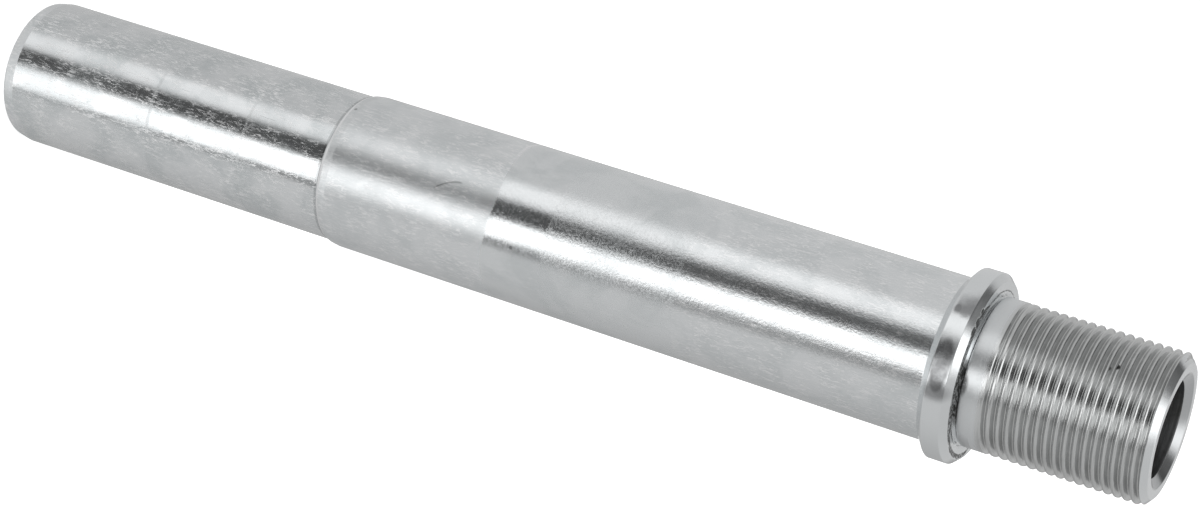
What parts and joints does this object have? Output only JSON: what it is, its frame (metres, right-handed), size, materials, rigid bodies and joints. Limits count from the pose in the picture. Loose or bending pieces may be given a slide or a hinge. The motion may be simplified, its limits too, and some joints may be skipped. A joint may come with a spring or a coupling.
{
  "type": "coupler shaft",
  "caption": "Hollow turned steel shaft with a long plain journal, a larger ground body, a chamfered collar and an externally threaded spigot.",
  "frame": {"origin": "centre of the plain end's flat face, on the shaft's axis", "axes": "+Z along the shaft's axis, from the plain end to the threaded end; X and Y are any two directions across it"},
  "size_m": [0.0304, 0.0304, 0.2068],
  "materials": {
    "bright_steel": "bright plated steel, ground on the journal and body and turned on the collar, with light scuffs"
  },
  "bodies": {
    "root": {"coupler_shaft": "bright_steel"}
  },
  "joints": []
}
